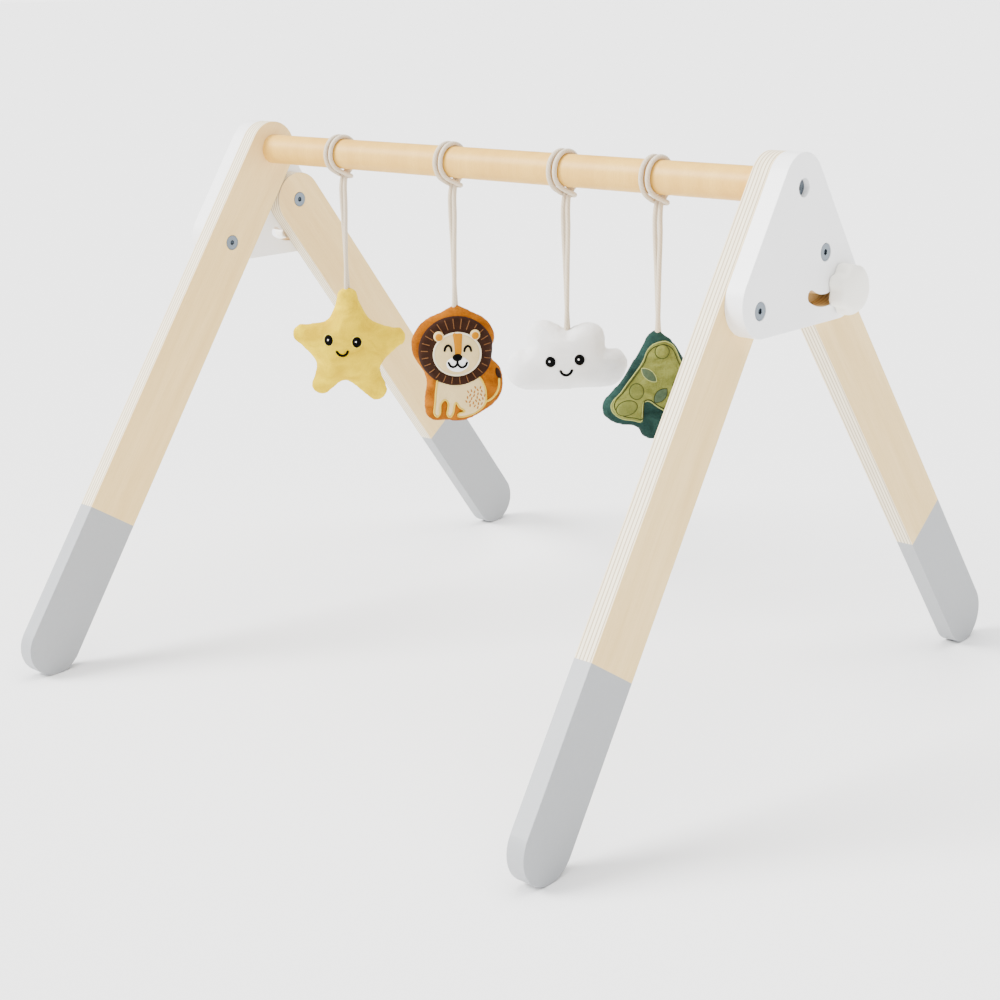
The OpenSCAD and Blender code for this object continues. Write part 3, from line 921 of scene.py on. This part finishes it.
CLOUD_OUTLINE = (
    (0, 0.5), (-9, 5.5), (-18.5, 8.5), (-27.5, 5.5), (-33, -2.5), (-33.5, -14), (-41, -16.5),
    (-47.5, -22.5), (-50, -31.5), (-46.5, -42.5), (-36, -49), (-18.5, -49.8), (7, -49), (31, -48),
    (41, -44), (46.5, -36), (48, -26.5), (42, -17), (32, -15), (30.5, -5), (26, 3), (16.5, 6), (7.5, 4),
)


def make_cloud():
    """The plump white cloud."""
    white = plush("white_plush", (0.75, 0.75, 0.74), (0.85, 0.85, 0.85), 0.7)
    toy = Toy("cloud")
    pad = smooth_line(mm(CLOUD_OUTLINE[::-1]), 2 * MM, closed=True)
    toy.stuffed(pad, 30 * MM, 0.002, 0.55, white, 4 * MM)
    bead_eye(toy, "left", (-13.7, -23.5), 4.1, 4.4, "white_plush", WHITE_THREAD)
    bead_eye(toy, "right", (9.4, -22.2), 4.1, 4.4, "white_plush", WHITE_THREAD)
    smile = mm([(-5.8, -31.4), (-4.4, -33.6), (-1.4, -34.8), (1.6, -33.4), (3.1, -30.8)])
    toy.stitched("smile", [smile], 2.3 * MM, 0.3 * MM, BLACK_THREAD, "white_plush")


# ---------- Lion ----------

LION_OUTLINE = (
    (0, 0.5), (-9, -3.5), (-21, -8), (-31, -15), (-37.5, -25), (-38.5, -36), (-35.5, -47), (-30, -57),
    (-28, -65), (-29, -75), (-29, -85), (-27, -94), (-20, -99.5), (-10, -99.8), (0, -101), (10, -99.5),
    (21, -94), (32, -87), (38.5, -77), (40, -66), (38, -55), (32, -46), (32, -38), (34, -29), (31, -19),
    (24, -11), (12.5, -5), (5, -1.5),
)
MANE = ((-1, -38), 32, 29.6)
FACE = ((-0.6, -40.2), 20.2, 18.4)
LION_COAT = (
    (-16, -60), (-19, -70), (-20, -81), (-21, -91), (-18.5, -94.8), (-16, -91.5), (-15.5, -83.5),
    (-12, -79.6), (-9, -83.5), (-10, -92.5), (-7.5, -95.8), (-5, -92.5), (-4, -86.5), (-2.5, -82.5),
    (0.5, -87), (5, -91), (0, -92.8), (0, -95.6), (7, -95.6), (15.5, -92.8), (22.5, -86), (23.5, -77.5),
    (22, -69), (16, -60), (-2, -54),
)
LION_STRIPE = (
    (-3.9, -22.2), (-0.1, -21.9), (3.8, -22.4), (3.4, -31), (2.7, -40), (0.1, -40.6), (-2.5, -40),
    (-3.2, -31),
)
LION_MUZZLE = (
    (-0.6, -43.4), (4.9, -43.2), (8.7, -47), (7.9, -51.5), (3.5, -54.6), (-0.7, -55.2), (-5.1, -54.4),
    (-9.3, -51.2), (-9.9, -46.8), (-6.1, -43.2),
)
RAYS = 26


def lion_rays():
    """Short radial stitches round the mane, between its rim and the face, leaving room for the ears."""
    made = []
    for i in range(RAYS):
        a = math.radians(90 + (i + 0.3) * 360 / RAYS)
        way = np.array((math.cos(a), math.sin(a)))
        ear = abs(math.sin(a) - 0.68) < 0.13
        length = 3.5 if ear else 5 + 3 * max(0, math.sin(a))
        outer = np.array(MANE[0]) + 0.93 * np.array((MANE[1] * way[0], MANE[2] * way[1]))
        made.append(mm([outer - way * length, outer]))
    return made


def lion_spots():
    """Little stitches spread evenly over the haunch."""
    made = []
    for i in range(26):
        r, a = 2 * math.sqrt(i + 0.5), i * math.radians(137.5)
        c = np.array((14.5, -79)) + r * np.array((math.cos(a) * 0.85, math.sin(a)))
        tilt = math.radians(90 + 30 * math.sin(a * 1.7))
        way = 0.75 * np.array((math.cos(tilt), math.sin(tilt)))
        made.append(mm([c - way, c + way]))
    return made


def make_lion():
    """The flat orange pad with a lion of felt and thread on its front."""
    orange = plush("orange_plush", (0.15, 0.036, 0.001), (0.4, 0.125, 0.003))
    brown = felt("brown_felt", (0.015, 0.0055, 0.003), (0.033, 0.0135, 0.0075))
    cream = felt("cream_felt", (0.56, 0.42, 0.19), (0.72, 0.56, 0.28))
    snow = felt("snow_felt", (0.78, 0.78, 0.78), (0.88, 0.88, 0.88))
    gold = thread("gold_thread", (0.5, 0.19, 0), 90)
    tan = thread("tan_thread", (0.17, 0.075, 0.03), 45)
    edging = thread("straw_thread", (0.7, 0.48, 0.06), 45)
    rust = thread("rust_thread", (0.36, 0.14, 0.03))
    ivory = thread("cream_thread", (0.82, 0.73, 0.52), 45)
    toy = Toy("lion")
    pad = smooth_line(mm(LION_OUTLINE), 2 * MM, closed=True)
    toy.stuffed(pad, 17 * MM, 0.02, 0.5, orange, 2 * MM)
    coat = smooth_line(mm(LION_COAT), 1.2 * MM, closed=True)
    piece = toy.patch("coat", coat, 0, 1 * MM, cream, "cream_felt", step=1.5 * MM)
    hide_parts("lion_coat")
    toy.stitched("coat_edging", [mm(LION_COAT)], 1.5 * MM, 0.8 * MM, edging, "cream_felt", closed=True)
    toy.stitched("haunch", lion_spots(), 1.3 * MM, 0.95 * MM, rust, "brown_felt")
    tail = mm([(22.5, -84), (28, -82), (33, -77), (35.2, -71), (35.4, -65)])
    toy.stitched("tail", [tail], 2 * MM, 0.2 * MM, edging, "cream_felt")
    toy.patch("tuft", leaf((35, -60), 11, 4.6, 110), 0, 0.9 * MM, brown, "brown_felt", step=1 * MM)
    piece = toy.patch("mane", oval(*MANE, steps=72), 0, 1.9 * MM, brown, "brown_felt", 0.9 * MM)
    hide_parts("lion_mane")
    piece = toy.patch("face", oval(*FACE, steps=60), 1.7 * MM, 2.9 * MM, cream, "cream_felt", 0.8 * MM)
    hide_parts("lion_face")
    rim = oval(FACE[0], FACE[1] - 0.3, FACE[2] - 0.3)
    toy.stitched("face_edging", [rim], 1.7 * MM, 2.6 * MM, ivory, "cream_felt", closed=True)
    toy.stitched("rays", lion_rays(), 0.8 * MM, 1.9 * MM, tan, "brown_felt")
    for name, u in (("left", -15.8), ("right", 15)):
        outer = oval((u, -24.6), 4.4, 4.4)
        inner = oval((u, -25), 3.1, 3.1, steps=20)
        toy.patch(f"{name}_ear", outer, 1.7 * MM, 3.3 * MM, cream, "cream_felt", step=1.2 * MM)
        toy.patch(f"{name}_ear_inner", inner, 3.2 * MM, 3.8 * MM, gold, "cream_felt", step=1 * MM)
    stripe = smooth_line(mm(LION_STRIPE), 1.2 * MM, closed=True)
    toy.patch("stripe", stripe, 2.8 * MM, 3.4 * MM, gold, "cream_felt", step=1.2 * MM)
    muzzle = smooth_line(mm(LION_MUZZLE), 1.2 * MM, closed=True)
    toy.patch("muzzle", muzzle, 2.8 * MM, 3.6 * MM, snow, "white_plush", step=1.2 * MM)
    nose = oval((-0.7, -42.9), 4.2, 3.2)
    toy.patch("nose", nose, 3.3 * MM, 4.4 * MM, BLACK_THREAD, "brown_felt", 0.8 * MM, 0.9 * MM)
    arcs = [
        mm([(-11.4, -36.6), (-10.5, -33.6), (-8.3, -32.2), (-6.2, -33.8), (-5.5, -37)]),
        mm([(5.3, -37.6), (6.2, -34.8), (8.3, -33.4), (10.3, -34.8), (11.1, -37.8)]),
    ]
    toy.stitched("eyes", arcs, 2.1 * MM, 3.1 * MM, BLACK_THREAD, "brown_felt")
    mouth = [
        mm([(-0.7, -44.8), (-0.8, -46.4), (-0.9, -47.8)]),
        mm([(-8.4, -47), (-7.1, -49.6), (-4.7, -50.8), (-2.3, -50), (-0.9, -47.8)]),
        mm([(-0.9, -47.8), (0.7, -50.4), (3.3, -51.6), (5.9, -50.4), (7.3, -47.8)]),
    ]
    toy.stitched("mouth", mouth, 2.1 * MM, 3.6 * MM, BLACK_THREAD, "brown_felt")


# ---------- Dinosaur ----------

DINO_OUTLINE = (
    (0, 2), (-5.5, 0), (-11, -6), (-16, -14.5), (-22.5, -25), (-29.5, -35.5), (-37, -44.5), (-42, -50.5),
    (-44, -57), (-42, -64), (-35, -69.5), (-28, -72), (-22, -73), (-16.5, -75.5), (-13.5, -80), (-9, -83.2),
    (-2, -84), (10, -84), (20, -82.5), (26, -78), (30, -70), (36, -60), (37, -50), (33, -40), (26, -30),
    (19, -19), (14.5, -11), (10, -5.5), (5, -2),
)
DINO_COAT = (
    (3, -6), (-4.5, -8), (-9.2, -13), (-12, -19.5), (-16, -26), (-20, -31.5), (-25, -38), (-30, -45),
    (-35.5, -51), (-37.2, -56), (-35, -61), (-29, -65), (-21, -66.5), (-14.4, -67.5), (-13.6, -61),
    (-12.6, -52.5), (-8, -51.5), (-2.6, -55.5), (3, -59), (12, -63), (22, -63), (29.5, -56), (31, -47),
    (27, -37.5), (21, -28.5), (16.2, -21.5), (12.2, -11.5), (8, -7.5),
)


def make_dino():
    """The flat teal pad with an olive dinosaur sewn on its front."""
    teal = plush("teal_plush", (0.004, 0.014, 0.012), (0.021, 0.055, 0.046))
    olive = plush("olive_plush", (0.06, 0.07, 0.012), (0.22, 0.235, 0.06), 0.8)
    moss = plush("moss_plush", (0.055, 0.065, 0.013), (0.16, 0.175, 0.045), 0.8)
    grey_green = plush("grey_green_plush", (0.03, 0.05, 0.028), (0.075, 0.105, 0.06), 0.8)
    pale = thread("pale_green_thread", (0.34, 0.37, 0.12), 45)
    dark = thread("dark_green_thread", (0.03, 0.038, 0.01), 45)
    toy = Toy("dino")
    pad = smooth_line(mm(DINO_OUTLINE), 2 * MM, closed=True)
    toy.stuffed(pad, 17 * MM, 0.02, 0.5, teal, 2 * MM)
    coat = smooth_line(mm(DINO_COAT), 1.2 * MM, closed=True)
    piece = toy.patch("coat", coat, 0, 1.3 * MM, olive, "olive_felt", 1.2 * MM, 1.6 * MM)
    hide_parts("dino_coat")
    toy.stitched("coat_edging", [mm(DINO_COAT)], 1 * MM, 0.9 * MM, pale, "olive_felt", closed=True)
    middle_of_coat = np.array((-4, -38))
    inner = [tuple(middle_of_coat + (np.array(p) - middle_of_coat) * 0.93) for p in DINO_COAT]
    toy.stitched("coat_seam", [mm(inner)], 0.8 * MM, 1.35 * MM, dark, "olive_felt", closed=True)
    spots = (
        ("crown_spot", oval((2, -13.5), 5.4, 5.2), olive, dark),
        ("cheek_spot", oval((-18, -43.5), 5.4, 6), moss, dark),
        ("nose_spot", oval((-25.5, -56.5), 8.2, 5.6, 20), moss, dark),
        ("leaf_spot", leaf((-8.4, -31), 15, 7, -43), grey_green, pale),
        ("low_leaf_spot", leaf((0.4, -47.2), 14, 8, 48), grey_green, dark),
        ("back_spot", oval((16, -40), 6, 5.4), moss, dark),
        ("tail_spot", oval((20, -53), 6, 5), moss, dark),
    )
    for name, outline, fabric, stitching in spots:
        toy.patch(name, outline, 1.2 * MM, 2.1 * MM, fabric, "olive_felt", 1.5 * MM, 1.3 * MM)
        toy.stitched(f"{name}_edging", [outline], 0.8 * MM, 1.4 * MM, stitching, "olive_felt", closed=True)


make_star()
make_lion()
make_cloud()
make_dino()


# ---------- Floor and light ----------

FLOOR_CORNERS = ((-80, -80, 0), (80, -80, 0), (80, 80, 0), (-80, 80, 0))
# Brightness of the sky at the horizon and overhead
SKY_LOW, SKY_HIGH = 3.7, 0.6
# Name, direction, softness in degrees and strength of each light
LIGHTS = (("key", (-1.1, -1.3, 1.3), 30, 8), ("top", (0.1, 0.1, 2), 60, 5.2))


def make_stage():
    """A pale seamless floor under a bright, even sky and two soft lights."""
    material, tree, shader = finish_of("studio_floor", None, 0.9, Specular_IOR_Level=0.1)
    tree.links.new(mix(tree, noise(tree, object_point(tree), 3, 2), (0.9, 0.9, 0.9), (0.91, 0.91, 0.91)),
                   shader.inputs["Base Color"])
    floor = new_piece("studio_floor", FLOOR_CORNERS, [(0, 1, 2, 3)], material)
    world = bpy.data.worlds.new("studio")
    world.use_nodes = True
    sky = world.node_tree
    ray = add(sky, "ShaderNodeTexCoord").outputs["Generated"]
    rise = dot(sky, ray, (0, 0, 1))
    tone = spread(sky, rise, 0.02, 0.3, SKY_LOW, SKY_HIGH)
    glow = sky.nodes["Background"].inputs
    sky.links.new(tone, glow["Strength"])
    glow["Color"].default_value = (1, 1, 1, 1)
    scene.world = world
    for name, place, soft, strength in LIGHTS:
        data = bpy.data.lights.new(name, "SUN")
        data.angle = math.radians(soft)
        data.energy = strength
        light = bpy.data.objects.new(name, data)
        scene.collection.objects.link(light)
        light.location = place
        light.rotation_euler = (-Vector(place)).to_track_quat("-Z", "Y").to_euler()


make_stage()
